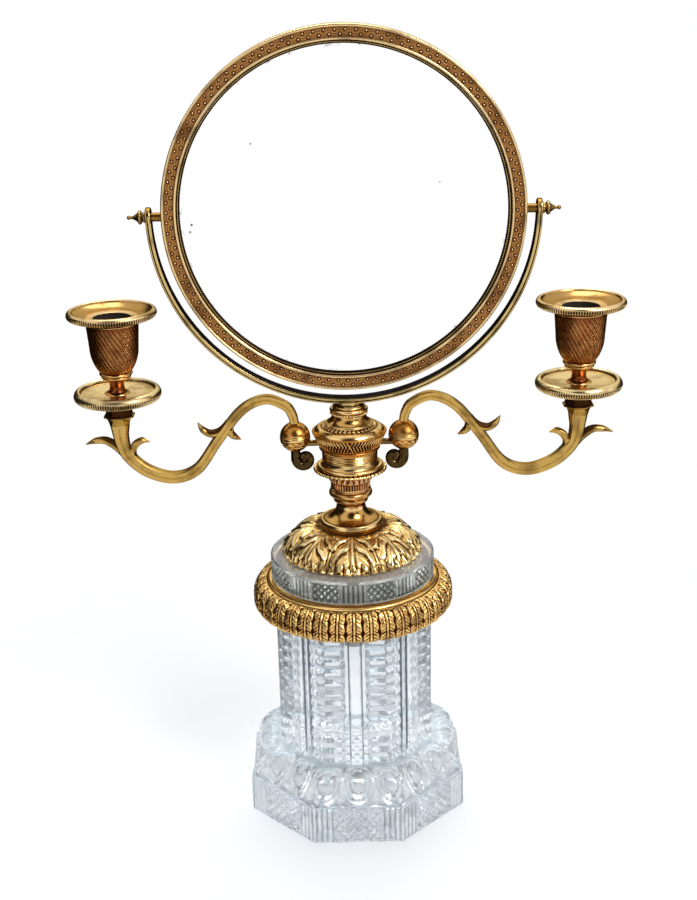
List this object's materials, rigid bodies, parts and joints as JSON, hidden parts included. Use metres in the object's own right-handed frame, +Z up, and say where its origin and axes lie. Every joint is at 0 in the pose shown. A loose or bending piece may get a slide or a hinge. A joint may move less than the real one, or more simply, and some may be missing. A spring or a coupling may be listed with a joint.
{
  "type": "vanity mirror",
  "caption": "Round tilting dressing-table mirror in a yoke on a turned vase stem and an octagonal cut-crystal pedestal, with scrolled candle branches that swivel.",
  "frame": {"origin": "under the middle of the foot, on the surface it stands on", "axes": "+Z up, +X along the mirror's pivot axis and the candle branches, -Y the mirror's front"},
  "size_m": [0.3176, 0.13, 0.4659],
  "materials": {
    "crystal": "cut, polished",
    "gilt_bronze": "gilt, worn, with patina",
    "stamped_gilt": "stamped, dark patina",
    "back_brass": "brushed, aged",
    "looking_glass": "silvered, foxed",
    "iron": "plain",
    "lead": "cast, dull",
    "leather": "plain",
    "felt": "felted",
    "board": "plain"
  },
  "bodies": {
    "stand": {"crystal_pedestal": "crystal", "lead_plug": "lead", "tie_rod": "iron", "column_washer": "leather", "leaf_ring": "gilt_bronze", "lower_collar_washer": "leather", "crystal_collar": "crystal", "upper_collar_washer": "leather", "acanthus_cap": "gilt_bronze", "stem_foot": "gilt_bronze", "stem_knop": "gilt_bronze", "fluted_calyx": "gilt_bronze", "vase_saucer": "gilt_bronze", "vase_drum": "gilt_bronze", "vase_belt": "gilt_bronze", "vase_shoulder": "gilt_bronze", "yoke_collar": "gilt_bronze", "yoke": "gilt_bronze", "left_knuckle_stud": "gilt_bronze", "left_knuckle_base": "gilt_bronze", "left_knuckle_scroll": "gilt_bronze", "left_swivel_pin": "gilt_bronze", "right_knuckle_stud": "gilt_bronze", "right_knuckle_base": "gilt_bronze", "right_knuckle_scroll": "gilt_bronze", "right_swivel_pin": "gilt_bronze"},
    "mirror": {"mirror_bezel": "gilt_bronze", "ornament_band": "stamped_gilt", "sight_ring": "gilt_bronze", "mirror_glass": "looking_glass", "backing_felt": "felt", "back_board": "board", "back_cover": "back_brass", "back_clips": "back_brass", "back_screws": "back_brass", "left_pivot_peg": "gilt_bronze", "right_pivot_peg": "gilt_bronze"},
    "left_arm": {"left_knuckle_cap": "gilt_bronze", "left_arm_branch": "gilt_bronze", "left_arm_socket": "gilt_bronze", "left_drip_pan": "gilt_bronze", "left_candle_cup": "gilt_bronze", "left_candle_stud": "gilt_bronze"},
    "left_bobeche": {"left_bobeche": "gilt_bronze"},
    "left_finial": {"left_finial_nut": "gilt_bronze"},
    "right_arm": {"right_knuckle_cap": "gilt_bronze", "right_arm_branch": "gilt_bronze", "right_arm_socket": "gilt_bronze", "right_drip_pan": "gilt_bronze", "right_candle_cup": "gilt_bronze", "right_candle_stud": "gilt_bronze"},
    "right_bobeche": {"right_bobeche": "gilt_bronze"},
    "right_finial": {"right_finial_nut": "gilt_bronze"}
  },
  "joints": [
    {"name": "mirror_tilt", "type": "hinge", "parent": "stand", "child": "mirror", "pos_m": [0, 0, 0.3648], "axis": [1, 0, 0], "continuous": true},
    {"name": "left_arm_swivel", "type": "hinge", "parent": "stand", "child": "left_arm", "pos_m": [-0.0317, 0, 0.2344], "axis": [0, 0, 1], "range_deg": [-45, 45]},
    {"name": "left_bobeche_lift", "type": "slide", "parent": "left_arm", "child": "left_bobeche", "axis": [0, 0, 1], "range_m": [0, 0.02]},
    {"name": "left_finial_turn", "type": "hinge", "parent": "mirror", "child": "left_finial", "pos_m": [-0.1098, 0, 0.3648], "axis": [-1, 0, 0], "continuous": true},
    {"name": "right_arm_swivel", "type": "hinge", "parent": "stand", "child": "right_arm", "pos_m": [0.0317, 0, 0.2344], "axis": [0, 0, 1], "range_deg": [-45, 45]},
    {"name": "right_bobeche_lift", "type": "slide", "parent": "right_arm", "child": "right_bobeche", "axis": [0, 0, 1], "range_m": [0, 0.02]},
    {"name": "right_finial_turn", "type": "hinge", "parent": "mirror", "child": "right_finial", "pos_m": [0.1098, 0, 0.3648], "axis": [1, 0, 0], "continuous": true}
  ]
}
